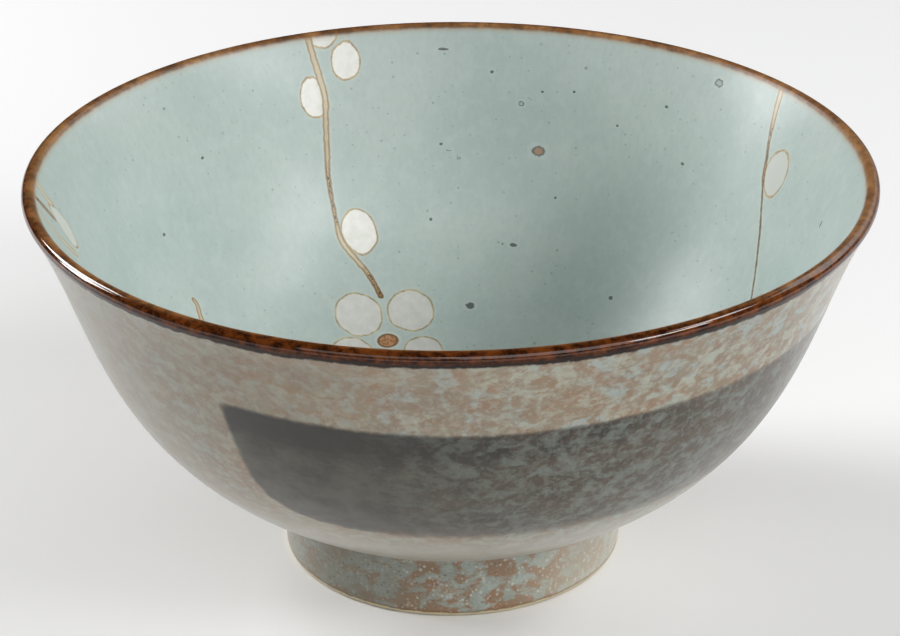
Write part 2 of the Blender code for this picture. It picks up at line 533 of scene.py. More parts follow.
# %% the large specks: bearing, depth, width, height, heart
DARK_HEART, RUSTY_HEART, PALE_HEART = 0, 1, -1
SPECKS = [
    (73.8, 23.9, 2.8, 2.1, RUSTY_HEART),
    (85.1, 56.5, 1.8, 1.4, DARK_HEART),
    (43.1, 3.5, 2.0, 1.6, PALE_HEART),
    (91.0, 4.4, 2.2, 0.6, DARK_HEART),
    (77.6, 14.8, 1.2, 1.1, PALE_HEART),
    (76.6, 43.1, 1.5, 0.8, DARK_HEART),
    (50.7, 49.9, 1.0, 0.9, DARK_HEART),
    (51.5, 10.8, 0.8, 0.6, DARK_HEART),
    (45.5, 20.5, 0.9, 0.7, DARK_HEART),
    (3.3, 14.4, 0.6, 1.6, DARK_HEART),
    (82.9, 8.8, 0.8, 0.7, DARK_HEART),
    (74.1, 12.1, 0.6, 0.5, DARK_HEART),
    (68.6, 11.4, 0.6, 0.6, DARK_HEART),
    (59.9, 16.6, 0.6, 0.5, DARK_HEART),
    (137.1, 17.8, 0.8, 0.6, DARK_HEART),
    (91.6, 23.3, 0.7, 0.6, DARK_HEART),
    (88.4, 26.1, 0.9, 0.6, PALE_HEART),
    (69.4, 32.7, 0.6, 0.5, DARK_HEART),
    (94.0, 38.3, 0.7, 0.7, DARK_HEART),
    (152.0, 27.7, 0.9, 0.7, DARK_HEART),
    (241.0, 20.7, 1.6, 1.3, PALE_HEART),
    (262.0, 43.7, 1.0, 0.8, DARK_HEART),
    (287.0, 11.7, 0.8, 0.8, DARK_HEART),
    (340.0, 34.7, 1.1, 0.9, RUSTY_HEART),
]
SPECK_REACH = 3.6
speck = np.full((len(places), 3), FAR_AWAY)
speck_heart = np.zeros(len(places))
nearest_speck = np.full(len(places), SPECK_REACH)
for bearing, depth, width, height, heart in SPECKS:
    centre, round_, down = frame_on_inside(bearing, depth)
    offset = places - centre
    distance = np.linalg.norm(offset, axis=1)
    mine = is_inside & (distance < nearest_speck)
    nearest_speck[mine] = distance[mine]
    own_map = np.stack([offset @ -round_ * 2 / width, offset @ down * 2 / height, 0 * distance], axis=1)
    speck[mine] = own_map[mine]
    speck_heart[mine] = heart
store("speck", speck)
store("speck_heart", speck_heart)
print(f"{len(SPECKS)} large specks")

# %% [markdown]
# ### The brushed band outside
#
# With the bowl turning on the wheel, a broad brush of dark iron wash was set down at the front left
# and lifted again once it ran dry at the back. Each vertex keeps how far it lies inside the band's
# outline, and how far along the sweep it is, because the wash thins out on the way. Taking the
# plain minimum of the four edges' distances would leave sharp corners, and a wet brush rounds them,
# so the minimum is a soft one. The distance from the lower edge is counted short, which makes that
# edge soft, and the upper edge is crisp. Bearings are counted from the unpainted side, so that the
# count never jumps under the paint.

# %% the band: its edges, and how far along it each vertex is. The start is height, bearing
BAND_LOW, BAND_HIGH = 31.4, 56.8
LOW_EDGE_CRISPNESS, HIGH_EDGE_CRISPNESS = 0.5, 1.15
UNPAINTED_SIDE = 156.0
BAND_START = [
    (30.8, 260.0),
    (31.4, 250.0),
    (32.9, 243.6),
    (36.4, 239.6),
    (40.4, 238.2),
    (56.6, 237.0),
]
BAND_END = 425.0
BAND_REACH = 5.0
CORNER_ROUND = 0.9

turned = (bearings - UNPAINTED_SIDE) % 360
heights = places[:, 2]
radii = np.hypot(places[:, 0], places[:, 1])
start_heights, start_bearings = np.array(BAND_START).T
start = np.interp(heights, start_heights, start_bearings) - UNPAINTED_SIDE
degree = radii * math.pi / 180
top_sway = 0.5 * np.sin(2 * angles + math.radians(40)) + 0.25 * np.sin(5 * angles)
end = BAND_END - UNPAINTED_SIDE
from_start = (turned - start) * degree
from_end = (end - turned) * degree
from_low = (heights - BAND_LOW) * LOW_EDGE_CRISPNESS
from_high = (BAND_HIGH + top_sway - heights) * HIGH_EDGE_CRISPNESS
edges = np.stack([from_start, from_end, from_low, from_high]) / CORNER_ROUND
nearest_edge = edges.min(0)
band_edge = CORNER_ROUND * (nearest_edge - np.log(np.exp(nearest_edge - edges).sum(0)))
band_edge = np.where(is_inside, -BAND_REACH, np.clip(band_edge, -BAND_REACH, BAND_REACH))
first_paint = BAND_START[-1][1] - UNPAINTED_SIDE
band_along = np.clip((turned - first_paint) / (end - first_paint), 0, 1)
store("band", np.stack([band_edge, band_along, from_high], axis=1))
print(f"the band is {BAND_HIGH - BAND_LOW:.1f} mm high and starts at bearing {BAND_START[-1][1]:.0f}")

# %% [markdown]
# ## Short ways to build shader nodes
#
# A node material is a list of small sums, and written out in full it is long. The helper below
# adds one node per line and joins it up: where an input is given as another node's output it is
# linked, and where it is a number or a colour it is typed in.

# %% colours as the eye reads them, turned to linear light
def srgb(red, green, blue):
    """A colour from 0 to 255, as it looks on a screen, as the linear colour that shaders use."""
    shares = [c / 255 for c in (red, green, blue)]
    return (*(s / 12.92 if s <= 0.04045 else ((s + 0.055) / 1.055) ** 2.4 for s in shares), 1.0)


# %% the node helper
class Bench:
    """A node tree to work on."""

    def __init__(self, tree):
        self.tree = tree

    def feed(self, socket, value):
        if isinstance(value, bpy.types.NodeSocket):
            self.tree.links.new(value, socket)
        else:
            socket.default_value = value

    def add(self, kind, inputs, output=0, **settings):
        node = self.tree.nodes.new("ShaderNode" + kind)
        for name, value in settings.items():
            setattr(node, name, value)
        for name, value in inputs.items():
            self.feed(node.inputs[name], value)
        return node.outputs[output]

    def sum(self, operation, *values, clamp=False):
        """One step of arithmetic."""
        numbered = dict(enumerate(values))
        return self.add("Math", numbered, operation=operation, use_clamp=clamp)

    def plus(self, first, *others, clamp=False):
        """All these values added up. With clamp, the total is kept within 0 to 1."""
        for other in others[:-1]:
            first = self.sum("ADD", first, other)
        return self.sum("ADD", first, others[-1], clamp=clamp)

    def times(self, first, *others):
        """All these values multiplied together."""
        for other in others:
            first = self.sum("MULTIPLY", first, other)
        return first

    def vector(self, operation, *values):
        """One step of arithmetic on vectors."""
        inputs = dict(enumerate(values))
        if operation == "SCALE":
            inputs = {0: values[0], "Scale": values[1]}
        output = "Value" if operation in ("LENGTH", "DISTANCE") else "Vector"
        return self.add("VectorMath", inputs, output, operation=operation)

    def part(self, vector, axis):
        """The X, Y or Z of a vector."""
        return self.add("SeparateXYZ", {"Vector": vector}, axis)

    def fade(self, value, start, end):
        """0 where value is at start, 1 where it is at end, with soft shoulders between."""
        inputs = {"Value": value, "From Min": start, "From Max": end}
        return self.add("MapRange", inputs, interpolation_type="SMOOTHSTEP")

    def spread(self, value, low, high):
        """A value from 0 to 1, spread over low to high."""
        return self.add("MapRange", {"Value": value, "To Min": low, "To Max": high})

    def mix(self, share, under, over, blend="MIX"):
        inputs = {0: share, 6: under, 7: over}
        return self.add("Mix", inputs, 2, data_type="RGBA", blend_type=blend)

    def lay(self, mask, strength, under, over):
        """Lays a colour over another where the mask is, no stronger than this share."""
        return self.mix(self.times(mask, strength), under, over)

    def between(self, share, low, high):
        """The number that lies this share of the way from low to high."""
        return self.add("Mix", {0: share, 2: low, 3: high}, 0, data_type="FLOAT")

    def noise(self, where, scale, detail=3.0, rough=0.5, distortion=0.0):
        inputs = {"Vector": where, "Scale": scale, "Detail": detail}
        inputs.update({"Roughness": rough, "Distortion": distortion})
        return self.add("TexNoise", inputs)

    def attribute(self, name, output):
        return self.add("Attribute", {}, output, attribute_name=name)

    def place_mm(self, across=1.0, upward=1.0):
        """The place on the bowl in millimetres, or squeezed so that patterns grow along it."""
        place = self.add("TexCoord", {}, "Object")
        return self.vector("MULTIPLY", place, (across / MM, across / MM, upward / MM))

    def from_axis(self, place):
        """How far a place lies from the bowl's upright axis."""
        return self.vector("LENGTH", self.vector("MULTIPLY", place, (1.0, 1.0, 0.0)))


# %% a new group, and its use
def new_group(name, inputs, outputs):
    """A node group with named sockets. Each input has its usual value, which also gives its kind."""
    tree = bpy.data.node_groups.new(name, "ShaderNodeTree")
    kinds = {float: "NodeSocketFloat", tuple: "NodeSocketVector"}
    for socket, value in inputs.items():
        made = tree.interface.new_socket(socket, in_out="INPUT", socket_type=kinds[type(value)])
        made.default_value = value
    for socket, kind in outputs.items():
        tree.interface.new_socket(socket, in_out="OUTPUT", socket_type="NodeSocket" + kind)
    taken = tree.nodes.new("NodeGroupInput").outputs
    given = tree.nodes.new("NodeGroupOutput").inputs
    return Bench(tree), taken, given


def use_group(bench, name, inputs, output):
    node = bench.tree.nodes.new("ShaderNodeGroup")
    node.node_tree = bpy.data.node_groups[name]
    for socket, value in inputs.items():
        bench.feed(node.inputs[socket], value)
    if isinstance(output, str):
        return node.outputs[output]
    return [node.outputs[one] for one in output]


# %% [markdown]
# ## Effects that several finishes share
#
# Four effects come back in more than one finish: clouds with feathery edges, fine specks, the brown
# rim glaze, and the faint unevenness of a glaze that froze as it flowed. Each is a node group, made
# once, and every finish gives it its own sizes.

# %% clouds with feathery edges
bench, taken, given = new_group(
    "feathery_clouds",
    {"Place": (0.0, 0.0, 0.0), "Size": 5.0, "Cover": 0.5, "Softness": 0.05},
    {"Mask": "Float"},
)
scaled = bench.vector("SCALE", taken["Place"], bench.sum("DIVIDE", 1.0, taken["Size"]))
cloud = bench.noise(scaled, 1.0, detail=4.0, rough=0.62, distortion=0.35)
edge = bench.sum("MULTIPLY_ADD", taken["Cover"], -0.36, 0.68)
mask = bench.fade(
    cloud,
    bench.sum("SUBTRACT", edge, taken["Softness"]),
    bench.plus(edge, taken["Softness"]),
)
bench.feed(given["Mask"], mask)


def clouds(bench, place, size, cover, softness):
    """Feathery clouds of this size in millimetres. Cover is about the share of the glaze they take."""
    inputs = {"Place": place, "Size": size, "Cover": cover, "Softness": softness}
    return use_group(bench, "feathery_clouds", inputs, "Mask")


print("made feathery_clouds")

# %% fine specks
bench, taken, given = new_group(
    "fine_specks",
    {"Place": (0.0, 0.0, 0.0), "Spacing": 2.0, "Radius": 0.15, "Share": 0.5},
    {"Mask": "Float"},
)
scaled = bench.vector("SCALE", taken["Place"], bench.sum("DIVIDE", 1.0, taken["Spacing"]))
cells = bench.tree.nodes.new("ShaderNodeTexVoronoi")
cells.inputs["Scale"].default_value = 1.0
bench.feed(cells.inputs["Vector"], scaled)
dice = [bench.add("SeparateColor", {"Color": cells.outputs["Color"]}, n) for n in range(3)]
chosen = bench.sum("LESS_THAN", dice[0], taken["Share"])
radius = bench.sum("DIVIDE", taken["Radius"], taken["Spacing"])
radius = bench.times(radius, bench.spread(dice[1], 0.4, 1.0))
dot = bench.fade(cells.outputs["Distance"], radius, bench.times(radius, 0.4))
bench.feed(given["Mask"], bench.times(dot, chosen, bench.spread(dice[2], 0.25, 1.0)))


def specks(bench, place, spacing, radius, share):
    """Round specks in this share of the cells of a loose grid, whose spacing is in millimetres."""
    inputs = {"Place": place, "Spacing": spacing, "Radius": radius, "Share": share}
    return use_group(bench, "fine_specks", inputs, "Mask")


print("made fine_specks")

# %% [markdown]
# The brown glaze of the lip drained outwards in the kiln. On the inside only a thin film is left, tan
# and dull. On the outside it hangs as a thick glossy bead that ends in a ragged dark line. At the far
# right the thin film reaches over the crest.

# %% the brown glaze of the lip
THICK_ROUGHNESS, THIN_ROUGHNESS = 0.06, 0.42
bench, taken, given = new_group(
    "rim_glaze",
    {"From Lip": 0.0, "Wrap": (0.0, 0.0, 0.0), "Inner Edge": -1.5, "Outer Edge": 3.5},
    {"Color": "Color", "Mask": "Float", "Soft Fade": "Float", "Roughness": "Float"},
)
run = taken["From Lip"]
ragged = bench.noise(taken["Wrap"], 0.55, detail=4.0, rough=0.6)
pooled = bench.noise(taken["Wrap"], 0.14, detail=3.0, rough=0.6)
sway = bench.spread(ragged, -0.7, 0.7)
outer = bench.plus(taken["Outer Edge"], sway, bench.spread(pooled, -0.7, 0.7))
inner = bench.plus(taken["Inner Edge"], bench.times(sway, 0.4))
below_outer = bench.fade(run, bench.plus(outer, 0.35), bench.plus(outer, -0.25))
above_inner = bench.fade(run, bench.plus(inner, -0.4), bench.plus(inner, 0.4))
bench.feed(given["Mask"], bench.times(below_outer, above_inner))
fade_in = bench.fade(run, bench.plus(inner, -1.2), bench.plus(inner, 0.2))
bench.feed(given["Soft Fade"], bench.times(fade_in, below_outer))
print("found where the lip's glaze starts and ends")

# %% how dull and how brown it is
to_the_right = bench.part(taken["Wrap"], "X")
far_right = bench.fade(to_the_right, 44.0, 58.0)
thin = bench.fade(run, bench.spread(far_right, 0.9, 2.6), bench.spread(far_right, -0.9, 0.6))
bench.feed(given["Roughness"], bench.between(thin, THICK_ROUGHNESS, THIN_ROUGHNESS))
blotches = bench.noise(taken["Wrap"], 0.62, detail=5.0, rough=0.7)
brown = bench.mix(bench.fade(blotches, 0.36, 0.66), srgb(40, 15, 4), srgb(106, 54, 18))
to_a_side = bench.fade(bench.sum("ABSOLUTE", to_the_right), 15.0, 55.0)
wider_at_right = bench.spread(bench.fade(to_the_right, 20.0, 55.0), 0.0, 0.6)
tan_end = bench.plus(bench.spread(to_a_side, 0.5, 1.4), wider_at_right)
tan = bench.times(
    bench.fade(run, tan_end, -0.9),
    bench.spread(bench.fade(pooled, 0.40, 0.62), 0.45, 1.0),
    bench.spread(bench.fade(blotches, 0.36, 0.60), 0.55, 0.95),
)
brown = bench.mix(tan, brown, srgb(166, 120, 72))
dark_line = bench.fade(run, bench.plus(outer, -1.7), bench.plus(outer, -0.4))
bench.feed(given["Color"], bench.lay(dark_line, 0.92, brown, srgb(18, 7, 2)))


def rim_glaze(bench, *outputs):
    """These outputs of the lip's glaze, in a finish of the bowl."""
    inputs = {
        "From Lip": bench.attribute("from_lip", "Fac"),
        "Wrap": bench.attribute("wrap", "Vector"),
    }
    return use_group(bench, "rim_glaze", inputs, outputs)


print("made rim_glaze")

# %% the skin of a glaze that froze as it flowed
GRAIN_SCALE = 2.6
bench, taken, given = new_group(
    "glaze_skin",
    {"Place": (0.0, 0.0, 0.0), "Wave": 4.0, "Height": 0.01, "Grain": 0.002},
    {"Height": "Float"},
)
scaled = bench.vector("SCALE", taken["Place"], bench.sum("DIVIDE", 1.0, taken["Wave"]))
waves = bench.times(bench.noise(scaled, 1.0, 2.0), taken["Height"])
grain = bench.times(bench.noise(taken["Place"], GRAIN_SCALE, 2.0), taken["Grain"])
bench.feed(given["Height"], bench.plus(waves, grain))


def skin(bench, place, wave, height, grain):
    """The skin's height in millimetres."""
    inputs = {"Place": place, "Wave": wave, "Height": height, "Grain": grain}
    return use_group(bench, "glaze_skin", inputs, "Height")


print("made glaze_skin")


# %% a material with a plain glossy shader, ready for its nodes
def new_finish(name, ior=1.5):
    """A material, its bench and its shader."""
    material = bpy.data.materials.new(name)
    material.use_nodes = True
    shader = material.node_tree.nodes["Principled BSDF"]
    shader.inputs["IOR"].default_value = ior
    return material, Bench(material.node_tree), shader


def raise_skin(bench, shader, height_mm):
    """Gives the shader a bump whose height is in millimetres."""
    inputs = {"Height": height_mm, "Distance": MM, "Strength": 1.0}
    bench.feed(shader.inputs["Normal"], bench.add("Bump", inputs))


# %% [markdown]
# ## The lining
#
# Inside, a pale grey-green glaze lies over the painting's ground. The painted motifs are coloured
# glazes of the same thickness, so they are colour alone and raise nothing. The order below is the
# potter's: ground, specks, white petals and buds, their outlines, the branches over them, and last
# the brown of the lip.

# %% the ground of the lining
lining, bench, shader = new_finish("lining_glaze")
place = bench.place_mm()
broad = bench.fade(bench.noise(place, 0.045, 2.0), 0.35, 0.65)
ground = bench.mix(broad, srgb(176, 191, 186), srgb(186, 198, 193))
streak = bench.fade(bench.noise(bench.place_mm(upward=0.25), 1.1, 4.0, 0.6), 0.38, 0.66)
ground = bench.lay(streak, 0.22, ground, srgb(160, 179, 176))
ground = bench.lay(clouds(bench, place, 2.6, 0.32, 0.10), 0.25, ground, srgb(196, 209, 205))
crowded = bench.spread(bench.fade(bench.noise(place, 0.07, 3.0, 0.6), 0.35, 0.65), 0.12, 0.60)
ground = bench.lay(specks(bench, place, 1.3, 0.36, crowded), 0.60, ground, srgb(112, 128, 124))
ground = bench.lay(specks(bench, place, 5.0, 0.52, 0.45), 0.80, ground, srgb(74, 80, 76))
print("mixed the lining's ground")

# %% the large specks, with the pale ring that iron leaves round it
from_speck = bench.vector("LENGTH", bench.attribute("speck", "Vector"))
from_speck = bench.plus(from_speck, bench.spread(bench.noise(place, 1.6, 2.0), -0.35, 0.35))
ground = bench.lay(bench.fade(from_speck, 2.0, 1.3), 0.30, ground, srgb(200, 208, 202))
heart = bench.attribute("speck_heart", "Fac")
in_heart = bench.fade(from_speck, 0.82, 0.45)
rusty = bench.times(bench.sum("MAXIMUM", heart, 0.0), in_heart)
hollow = bench.times(bench.sum("MAXIMUM", bench.times(heart, -1.0), 0.0), in_heart)
dark = bench.mix(rusty, srgb(64, 74, 72), srgb(168, 122, 86))
dark = bench.mix(hollow, dark, srgb(160, 172, 168))
ground = bench.lay(bench.fade(from_speck, 1.12, 0.82), 0.84, ground, dark)
print("set the large specks")

# %% petals, and the dot between them: how far outside their edges, with a hand's unevenness
DOT_HALF_WIDTH, DOT_HALF_HEIGHT, DOT_RADIUS = 1.95, 1.5, 1.7
slow_hand = bench.spread(bench.noise(place, 0.30, 2.0), -0.45, 0.45)
fine_hand = bench.spread(bench.noise(place, 1.5, 2.0), -0.10, 0.10)
hand = bench.plus(slow_hand, fine_hand)
map_place = bench.attribute("blossom", "Vector")
petal_edge = None
for turn, distance, width in PETALS:
    angle = math.radians(turn)
    middle = (distance * math.sin(angle), -distance * math.cos(angle), 0.0)
    one = bench.sum("SUBTRACT", bench.vector("DISTANCE", map_place, middle), width / 2)
    petal_edge = one if petal_edge is None else bench.sum("MINIMUM", petal_edge, one)
petal_edge = bench.plus(petal_edge, hand)
dot_place = bench.vector("MULTIPLY", map_place, (1 / DOT_HALF_WIDTH, 1 / DOT_HALF_HEIGHT, 0.0))
dot_edge = bench.sum("SUBTRACT", bench.vector("LENGTH", dot_place), 1.0)
dot_edge = bench.plus(bench.times(dot_edge, DOT_RADIUS), bench.times(hand, 0.5))
print(f"{len(PETALS)} petals and a dot")


# %% paint one outlined shape over what is there
HALO = srgb(214, 214, 200)
LINE_STRENGTH = 0.80


def paint_shape(bench, under, edge, fill, line, width, halo=0.18):
    """Fills where edge is below 0 and draws a line of this width on it, with a pale halo outside."""
    under = bench.lay(bench.fade(edge, 0.95, 0.25), halo, under, HALO)
    under = bench.mix(bench.fade(edge, 0.06, -0.10), under, fill)
    off_line = bench.sum("ABSOLUTE", edge)
    on_line = bench.fade(off_line, width / 2 + 0.10, width / 2 - 0.08)
    return bench.lay(on_line, LINE_STRENGTH, under, line)


# %% the blossom and the buds
PETAL_LINE, BUD_LINE, DOT_LINE = 0.34, 0.36, 0.40
blot = bench.noise(place, 0.55, 3.0, 0.6)
patchy = bench.fade(blot, 0.40, 0.62)
cloudy = bench.fade(blot, 0.3, 0.7)
thin_brown = bench.mix(patchy, srgb(150, 132, 82), srgb(196, 178, 128))
bud_brown = bench.mix(patchy, srgb(150, 118, 66), srgb(186, 158, 98))
petal_white = bench.mix(cloudy, srgb(206, 205, 199), srgb(216, 215, 209))
full_white = bench.mix(cloudy, srgb(232, 231, 223), srgb(243, 241, 235))
painted = paint_shape(bench, ground, petal_edge, petal_white, thin_brown, PETAL_LINE)
for layer in range(len(BUD_LAYERS)):
    bud_edge_mm = bench.plus(bench.attribute(f"bud_edge_{layer}", "Fac"), hand)
    bud_fill = bench.mix(bench.attribute(f"bud_white_{layer}", "Fac"), srgb(186, 192, 184), full_white)
    painted = paint_shape(bench, painted, bud_edge_mm, bud_fill, bud_brown, BUD_LINE)
grainy = bench.fade(bench.noise(place, 2.2, 2.0), 0.4, 0.6)
dot_brown = bench.mix(grainy, srgb(156, 108, 72), srgb(190, 146, 108))
painted = paint_shape(bench, painted, dot_edge, dot_brown, srgb(104, 66, 36), DOT_LINE, halo=0.6)
print("painted the blossom and the buds")

# %% the branches: a pale brown fill between two darker outlines, and grains of ink
BRANCH_LINE = 0.36
ink_drift = bench.spread(bench.noise(place, 0.7, 4.0, 0.7), -0.15, 0.15)
grit = bench.fade(bench.noise(place, 1.8, 2.0), 0.50, 0.58)
for layer in range(len(STROKE_LAYERS)):
    across = bench.part(bench.attribute(f"stroke_{layer}", "Vector"), "X")
    past_end, half_width = across.node.outputs["Y"], across.node.outputs["Z"]
    past_end = bench.sum("MAXIMUM", past_end, 0.0)
    squares = bench.plus(bench.sum("POWER", across, 2.0), bench.sum("POWER", past_end, 2.0))
    branch_edge = bench.sum("SUBTRACT", bench.sum("SQRT", squares), half_width)
    branch_edge = bench.plus(branch_edge, bench.spread(bench.noise(place, 0.8, 3.0), -0.26, 0.26))
    ink = bench.plus(bench.attribute(f"stroke_ink_{layer}", "Fac"), ink_drift, clamp=True)
    fill = bench.mix(ink, srgb(214, 204, 176), srgb(160, 112, 50))
    grains = bench.times(grit, bench.fade(ink, 0.36, 0.50))
    fill = bench.lay(grains, 0.9, fill, srgb(74, 56, 38))
    branch_line = bench.mix(ink, srgb(164, 138, 96), srgb(88, 66, 34))
    painted = paint_shape(bench, painted, branch_edge, fill, branch_line, BRANCH_LINE, halo=0.25)
print("painted the branches")

# %% the lip's brown over the lining, and the lining's gloss and skin
lip_outputs = rim_glaze(bench, "Color", "Mask", "Soft Fade", "Roughness")
lip_brown, lip_mask, lip_fade, lip_rough = lip_outputs
painted = bench.lay(lip_fade, 0.45, painted, srgb(174, 144, 106))
painted = bench.mix(lip_mask, painted, lip_brown)
bench.feed(shader.inputs["Base Color"], painted)
gloss = bench.spread(bench.noise(place, 0.25, 2.0), 0.31, 0.41)
bench.feed(shader.inputs["Roughness"], bench.between(lip_mask, gloss, lip_rough))
raise_skin(bench, shader, skin(bench, place, wave=5.0, height=0.03, grain=0.004))
print("finished the lining")

# %% [markdown]
# ## The outside
#
# Outside, a brown glaze broke into blue-grey flecks where it lay thick, as such glazes do when they
# cool. The flecks are crowded at the right, and at the left the wall is calm and almost even. On the
# foot the patches are larger and crisper, because it was glazed again. The dark band is a thin iron
# wash under it all: it darkens the brown and the flecks together where the brush was full, and lets
# them through where it ran dry.
#
# The wall is only half shiny. A plain shader mirrors as much as glass does, and it would turn the
# lower wall into a picture of the white table. So the wall's own mirror is weak, and a thin dull
# coat over it gives the broad sheen at the bowl's two sides.

# %% the wall's finish, and what changes across it
WALL_IOR = 1.27
WALL_COAT = 0.6
outside, bench, shader = new_finish("outer_glaze", ior=WALL_IOR)
shader.inputs["Coat Roughness"].default_value = 0.28
place = bench.place_mm()
flat_place = bench.place_mm(upward=1.35)
height = bench.part(place, "Z")
right_hand = bench.part(place, "X")
drift = bench.spread(bench.noise(place, 0.03, 2.0), -0.5, 0.5)
fleckiness = bench.plus(bench.fade(right_hand, -75.0, 60.0), drift, clamp=True)
calm = bench.plus(bench.fade(right_hand, -22.0, -62.0), bench.times(drift, 0.4), clamp=True)

# %% the brown ground of the wall
warm = bench.fade(bench.noise(flat_place, 0.11, 4.0, 0.65), 0.38, 0.62)
wall = bench.mix(warm, srgb(130, 114, 94), srgb(141, 114, 86))
rosy = clouds(bench, flat_place, 6.5, 0.44, 0.14)
wall = bench.lay(rosy, bench.spread(calm, 0.45, 0.15), wall, srgb(146, 108, 83))
veil = clouds(bench, flat_place, 4.5, 0.50, 0.16)
wall = bench.lay(veil, 0.55, wall, srgb(139, 139, 123))
broad = clouds(bench, flat_place, 13.0, 0.5, 0.16)
calm_wall = bench.mix(broad, srgb(140, 141, 132), srgb(133, 123, 106))
wall = bench.lay(calm, 0.78, wall, calm_wall)
print("mixed the wall's ground")

# %% the flecks, the crumbs and pits between them, and a painted sheen low on the wall
flecks = clouds(bench, flat_place, 3.2, 0.40, 0.08)
blue = bench.fade(bench.noise(place, 0.16, 2.0), 0.42, 0.60)
fleck_colour = bench.mix(blue, srgb(163, 165, 148), srgb(151, 165, 161))
wall = bench.lay(flecks, bench.spread(fleckiness, 0.22, 0.95), wall, fleck_colour)
crumbs = clouds(bench, place, 1.2, 0.40, 0.06)
wall = bench.lay(crumbs, bench.spread(fleckiness, 0.10, 0.36), wall, srgb(176, 178, 166))
pits = clouds(bench, place, 1.6, 0.34, 0.08)
wall = bench.lay(pits, bench.spread(fleckiness, 0.06, 0.34), wall, srgb(122, 100, 80))
# painted sheen: the lower wall is paled towards a neutral grey, where it would mirror the white table
painted_low_sheen = bench.fade(height, 33.0, 25.0)
wall = bench.lay(painted_low_sheen, 0.50, wall, srgb(168, 168, 159))
print("strewed the flecks")

# %% the foot, glazed again with larger patches, with painted shade at its left and a painted sheen at its right
foot_patches = clouds(bench, flat_place, 4.0, 0.52, 0.07)
foot = bench.mix(foot_patches, srgb(145, 112, 84), srgb(154, 164, 156))
foot = bench.lay(clouds(bench, place, 5.0, 0.44, 0.10), 0.45, foot, srgb(128, 122, 106))
foot = bench.lay(specks(bench, place, 0.75, 0.46, 0.62), 0.70, foot, srgb(206, 208, 194))
# The dark specks grow stronger towards the left. The left is darkened as painted shade, and the right
# is paled as a painted sheen.
dark_share = bench.spread(bench.fade(right_hand, 15.0, -22.0), 0.35, 0.85)
foot = bench.lay(specks(bench, flat_place, 0.8, 0.46, 0.55), dark_share, foot, srgb(78, 70, 58))
foot = bench.lay(bench.fade(right_hand, 0.0, -20.0), 0.62, foot, srgb(113, 111, 98))
foot = bench.lay(bench.fade(right_hand, 8.0, 24.0), 0.45, foot, srgb(206, 202, 186))
on_foot = bench.fade(height, FOOT_HEIGHT + 0.4, FOOT_HEIGHT - 0.6)
coat = bench.mix(on_foot, wall, foot)
print("mixed the foot's glaze")

# %% painted shade in the cove where the foot joins the wall, with the thicker glaze there, and a faint turned groove over it
GROOVE_HEIGHT = 15.0
# painted shade: the cove under the belly is darkened, together with the glaze that pools there
join_shade = bench.times(
    bench.fade(height, FOOT_HEIGHT + 1.4, FOOT_HEIGHT + 0.2),
    bench.fade(height, FOOT_HEIGHT - 0.9, FOOT_HEIGHT - 0.3),
)
coat = bench.lay(join_shade, 0.60, coat, srgb(92, 80, 66))
groove = bench.times(
    bench.fade(height, GROOVE_HEIGHT + 0.5, GROOVE_HEIGHT + 0.25),
    bench.fade(height, GROOVE_HEIGHT - 0.25, GROOVE_HEIGHT),
)
coat = bench.lay(groove, bench.spread(drift, 0.10, 0.40), coat, srgb(112, 104, 94))
print("drew the join")

# %% [markdown]
# ### The brushed band
#
# A brush gives off its wash unevenly, so three things shape the band. Its edges fray, its load sinks
# as it travels, and its bristles leave streaks along the stroke. The shade darkens everything in the
# band, the wash covers it where the load is high, and the glaze's own flecks wear through again from
# where the load starts to sink.

# %% where the band is, and how much wash the brush gave
edge_mm = bench.part(bench.attribute("band", "Vector"), "X")
along, under_top = edge_mm.node.outputs["Y"], edge_mm.node.outputs["Z"]
sweep = bench.vector("MULTIPLY", bench.attribute("wrap", "Vector"), (0.10, 0.10, 0.8))
bristle = bench.noise(sweep, 1.0, 4.0, 0.65)
frayed = bench.plus(edge_mm, bench.spread(bench.noise(place, 0.45, 4.0, 0.6), -0.55, 0.55))
in_band = bench.fade(frayed, -0.75, 0.75)
fullness = bench.fade(along, 0.62, 0.02)
blots = clouds(bench, flat_place, 3.4, 0.50, 0.12)
blot_loss = bench.times(blots, bench.spread(fullness, 0.45, 0.0))
load = bench.plus(bench.times(fullness, 0.80), bench.spread(bristle, -0.35, 0.50))
load = bench.sum("SUBTRACT", load, blot_loss)
top_strip = bench.times(bench.fade(under_top, 8.0, 3.0), bench.fade(along, 0.40, 0.26))
load = bench.plus(load, bench.times(top_strip, 0.60), clamp=True)
dry = bench.fade(bench.plus(along, bench.spread(bristle, -0.25, 0.25)), 1.05, 0.75)
print("loaded the brush")

# %% the shade and the wash
NO_SHADE = (1.0, 1.0, 1.0, 1.0)
shade = bench.mix(bench.times(in_band, dry), NO_SHADE, srgb(144, 139, 130))
coat = bench.mix(1.0, coat, shade, blend="MULTIPLY")
pooling = bench.noise(flat_place, 0.16, 6.0, 0.70)
near_top = bench.times(bench.fade(under_top, 11.0, 3.0), -0.26)
pooling = bench.plus(pooling, near_top, bench.spread(bristle, -0.11, 0.11))
wash_grey = bench.mix(bench.fade(pooling, 0.28, 0.66), srgb(20, 20, 14), srgb(70, 70, 60))
coat = bench.lay(bench.times(in_band, load, dry), 0.88, coat, wash_grey)
worn = bench.times(in_band, bench.fade(along, 0.08, 0.30))
for pattern, strength, colour in (
    (rosy, 0.55, srgb(82, 67, 51)),
    (flecks, 0.46, srgb(126, 136, 128)),
    (crumbs, 0.26, srgb(126, 136, 130)),
    (pits, 0.40, srgb(74, 62, 50)),
):
    coat = bench.lay(bench.times(worn, pattern), strength, coat, colour)
print("brushed the band")

